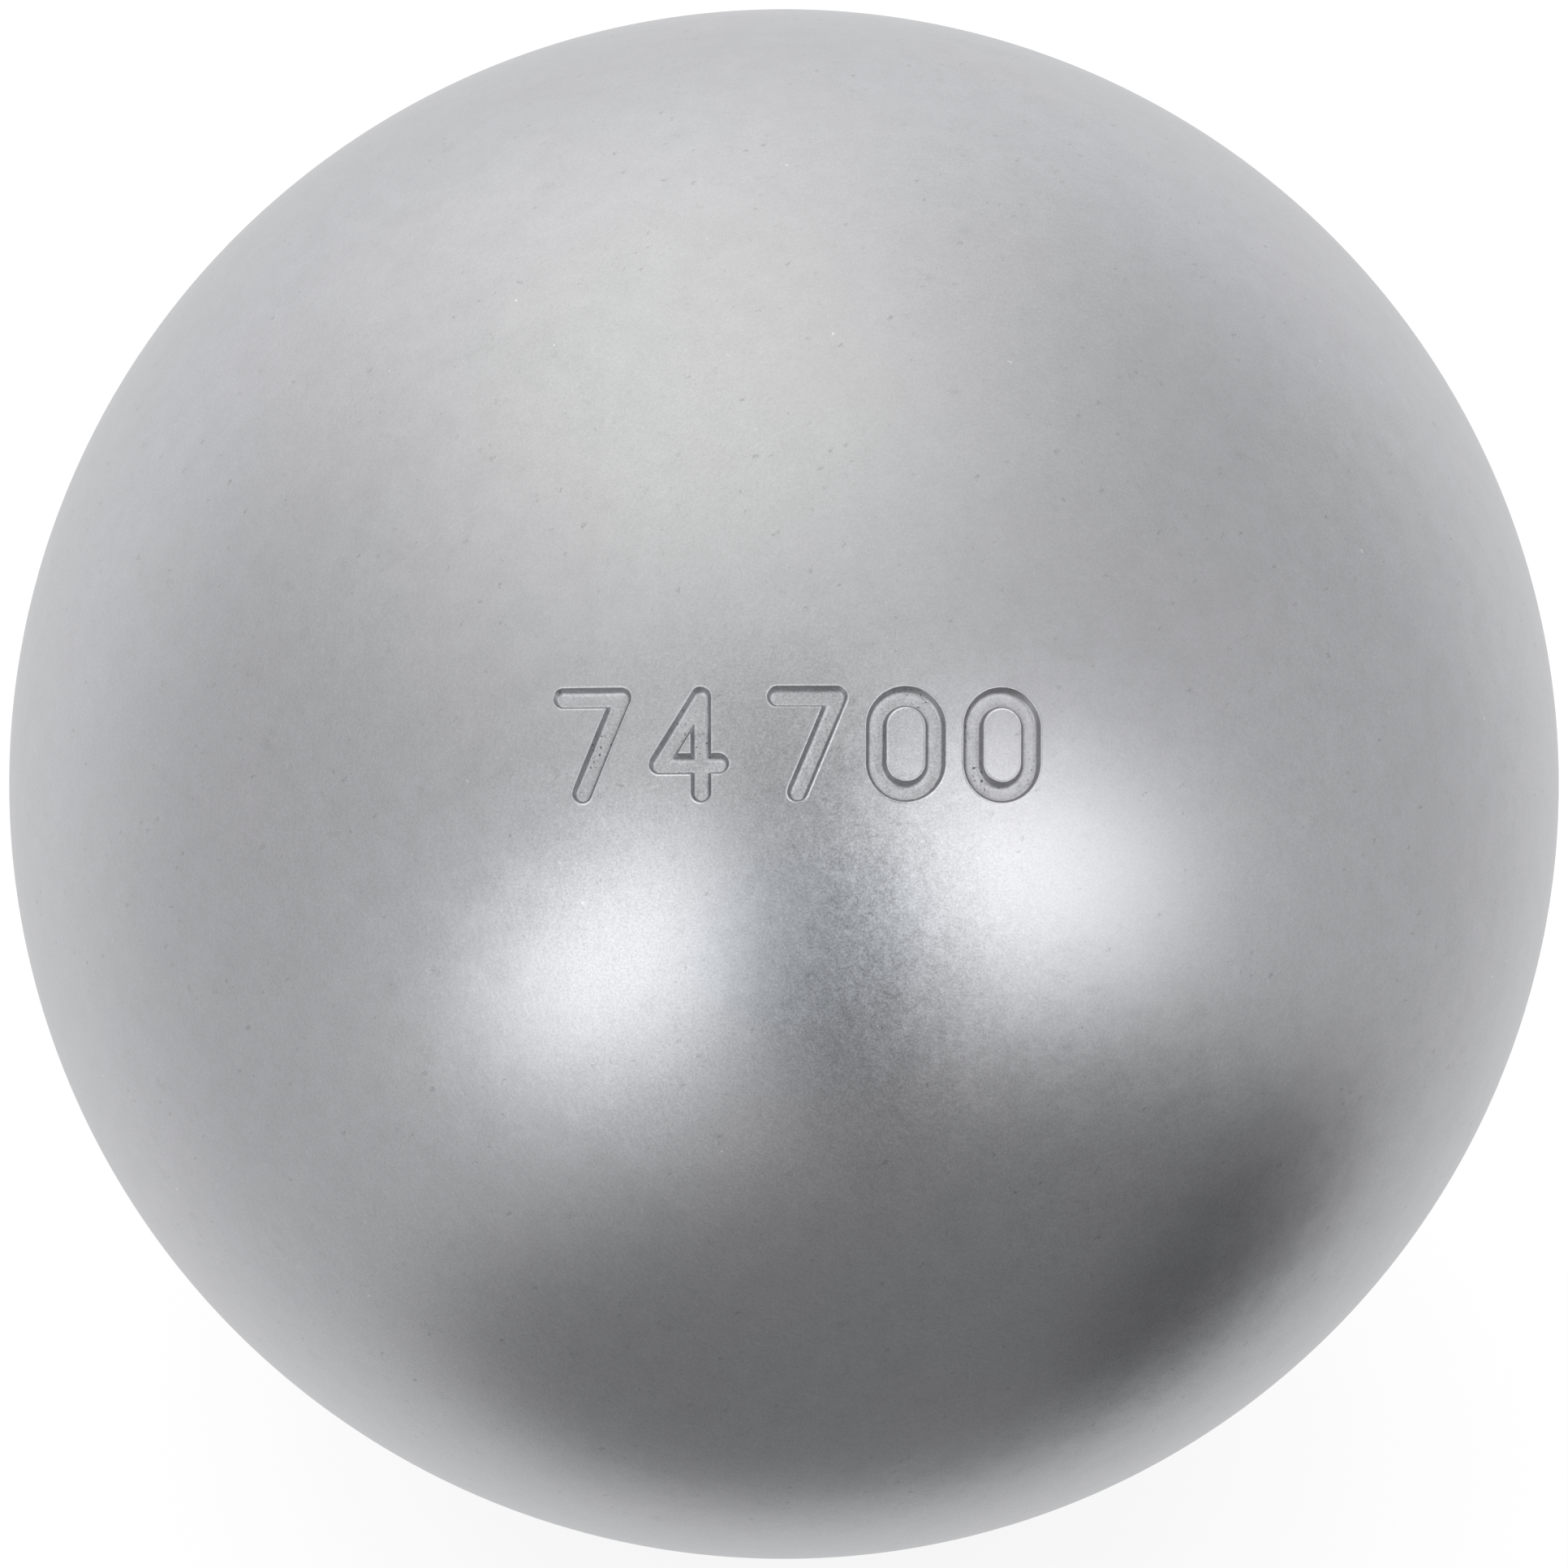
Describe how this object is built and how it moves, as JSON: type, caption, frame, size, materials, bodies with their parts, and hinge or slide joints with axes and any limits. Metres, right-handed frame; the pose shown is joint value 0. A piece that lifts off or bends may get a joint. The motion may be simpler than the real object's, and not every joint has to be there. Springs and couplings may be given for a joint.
{
  "type": "petanque boule",
  "caption": "Hollow steel petanque ball of two half shells welded round the middle, turned and satin finished, with a row of plain stamped figures.",
  "frame": {"origin": "centre of the ball", "axes": "+Z through the poles of the two half shells, towards the upper one, so the weld lies in the XY plane; -Y towards the stamped figures on the upper half shell"},
  "size_m": [0.074, 0.074, 0.074],
  "materials": {
    "shell_steel": "satin",
    "weld_steel": "satin"
  },
  "bodies": {
    "root": {"upper_half_shell": "shell_steel", "lower_half_shell": "shell_steel", "weld_bead": "weld_steel"}
  },
  "joints": []
}
